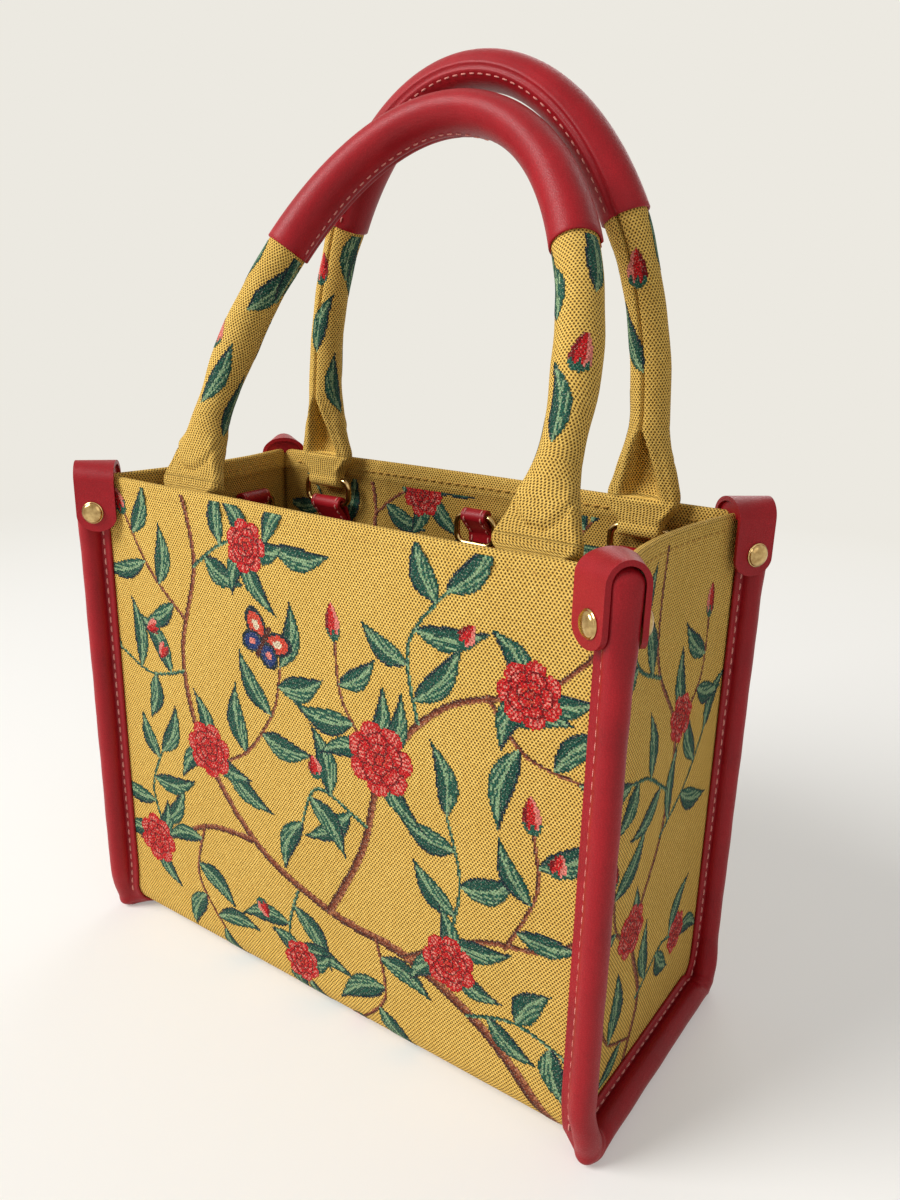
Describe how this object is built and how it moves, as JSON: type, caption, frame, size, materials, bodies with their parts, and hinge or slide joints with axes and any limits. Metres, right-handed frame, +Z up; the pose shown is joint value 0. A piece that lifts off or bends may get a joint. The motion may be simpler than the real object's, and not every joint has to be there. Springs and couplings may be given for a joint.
{
  "type": "tote bag",
  "caption": "Small structured tote bag of tapestry cloth with leather-bound seams, riveted corner tabs, tubular handles with leather grips, and wire rings in leather loops inside.",
  "frame": {"origin": "middle of the bag on the ground, under the middle of its bounding box", "axes": "+X along the front panel to the right, +Y from the front panel to the back panel, +Z up towards the handles"},
  "size_m": [0.2472, 0.1252, 0.3557],
  "materials": {
    "tapestry": "jacquard tapestry weave, mustard ground with woven sprays",
    "lining": "the same tapestry weave, seen from inside",
    "leather": "smooth red leather, satin, pale stitching",
    "gold": "polished pale gold plating"
  },
  "bodies": {
    "bag": {"main_panel": "tapestry", "gusset_left": "tapestry", "gusset_right": "tapestry", "lining_body": "lining", "lining_left": "lining", "lining_right": "lining", "binding_left": "leather", "binding_right": "leather", "corner_tab_front_left": "leather", "corner_tab_front_right": "leather", "corner_tab_rear_left": "leather", "corner_tab_rear_right": "leather", "rivet_front_left": "gold", "rivet_front_right": "gold", "rivet_rear_left": "gold", "rivet_rear_right": "gold", "handle_loop_front_left": "leather", "handle_loop_front_right": "leather", "handle_loop_rear_left": "leather", "handle_loop_rear_right": "leather", "strap_loop_left": "leather", "strap_loop_right": "leather", "middle_loop": "leather"},
    "front_handle": {"front_handle": "tapestry", "front_grip": "leather", "handle_ring_front_left": "gold", "handle_ring_front_right": "gold"},
    "rear_handle": {"rear_handle": "tapestry", "rear_grip": "leather", "handle_ring_rear_left": "gold", "handle_ring_rear_right": "gold"},
    "strap_ring_left": {"strap_ring_left": "gold"},
    "strap_ring_right": {"strap_ring_right": "gold"},
    "middle_ring": {"middle_ring": "gold"}
  },
  "joints": [
    {"name": "front_handle_swing", "type": "hinge", "parent": "bag", "child": "front_handle", "pos_m": [0, -0.0439, 0.179], "axis": [1, 0, 0], "range_deg": [0, 28.5]},
    {"name": "rear_handle_swing", "type": "hinge", "parent": "bag", "child": "rear_handle", "pos_m": [0, 0.0439, 0.179], "axis": [1, 0, 0], "range_deg": [-4.5, 0.5]},
    {"name": "strap_ring_left_swing", "type": "hinge", "parent": "bag", "child": "strap_ring_left", "pos_m": [-0.10068, 0.019, 0.18177], "axis": [0.0639, -0.998, 0], "range_deg": [0, 120]},
    {"name": "strap_ring_right_swing", "type": "hinge", "parent": "bag", "child": "strap_ring_right", "pos_m": [0.10068, 0.019, 0.18177], "axis": [0.0639, 0.998, 0], "range_deg": [0, 120]},
    {"name": "middle_ring_swing", "type": "hinge", "parent": "bag", "child": "middle_ring", "pos_m": [0.004, 0.0439, 0.184], "axis": [-1, 0, 0], "range_deg": [0, 120]}
  ]
}
